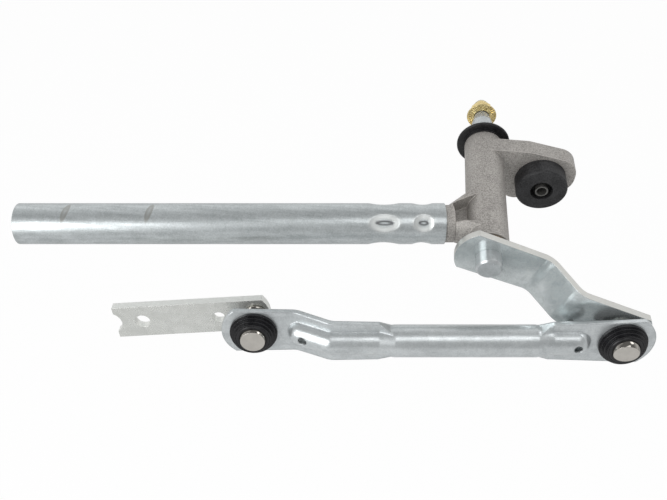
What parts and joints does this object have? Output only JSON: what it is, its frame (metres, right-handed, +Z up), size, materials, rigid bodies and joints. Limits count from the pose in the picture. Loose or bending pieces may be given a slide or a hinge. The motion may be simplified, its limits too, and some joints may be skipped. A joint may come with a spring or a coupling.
{
  "type": "windscreen wiper linkage",
  "caption": "Wiper pivot on a crimped carrier tube; a joggled crank lever on its shaft is driven through a pressed ball-jointed rod and a notched drive link.",
  "frame": {"origin": "centre of the spacer sleeve's outer end, where the body bolt seats against the vehicle", "axes": "+Y along the wiper shaft and the body bolt, out through the bodywork; +Z up in the picture; +X across the shaft, away from the carrier tube"},
  "size_m": [0.3833, 0.2064, 0.0722],
  "materials": {
    "zinc_steel": "bright zinc plating on pressed steel",
    "cast_alloy": "as die-cast, fine speckle",
    "black_rubber": "matt moulded rubber",
    "black_plastic": "moulded bearing plastic",
    "nickel_steel": "turned and nickel-plated",
    "yellow_zinc": "yellow zinc plating",
    "bearing_metal": "sintered and oiled"
  },
  "bodies": {
    "carrier": {"carrier_tube": "zinc_steel", "pivot_housing": "cast_alloy", "lower_shaft_bush": "bearing_metal", "upper_shaft_bush": "bearing_metal", "shaft_seal_ring": "black_rubber", "shaft_seal_cap": "black_rubber", "rubber_mount": "black_rubber", "mount_sleeve": "zinc_steel"},
    "crank": {"wiper_shaft": "zinc_steel", "crank_lever": "zinc_steel", "lower_thrust_washer": "bearing_metal", "upper_thrust_washer": "zinc_steel", "shaft_retaining_ring": "zinc_steel", "wiper_arm_nut": "yellow_zinc", "crank_ball_stud": "nickel_steel"},
    "rod": {"connecting_rod": "zinc_steel", "crank_ball_socket": "black_plastic", "crank_socket_seal": "black_rubber", "drive_ball_socket": "black_plastic", "drive_socket_seal": "black_rubber"},
    "link": {"drive_link": "zinc_steel", "drive_ball_stud": "nickel_steel"}
  },
  "joints": [
    {"name": "shaft_turn", "type": "hinge", "parent": "carrier", "child": "crank", "pos_m": [-0.0385, -0.077, 0.0096], "axis": [0, 1, 0], "range_deg": [-10, 100]},
    {"name": "rod_swing", "type": "hinge", "parent": "crank", "child": "rod", "pos_m": [0.04231, -0.1404, -0.01981], "axis": [0, 1, 0], "range_deg": [-115, 25]},
    {"name": "link_swing", "type": "hinge", "parent": "rod", "child": "link", "pos_m": [-0.17144, -0.15427, -0.02179], "axis": [-0.1056, 0.9724, -0.2079], "range_deg": [-90, 90]}
  ]
}
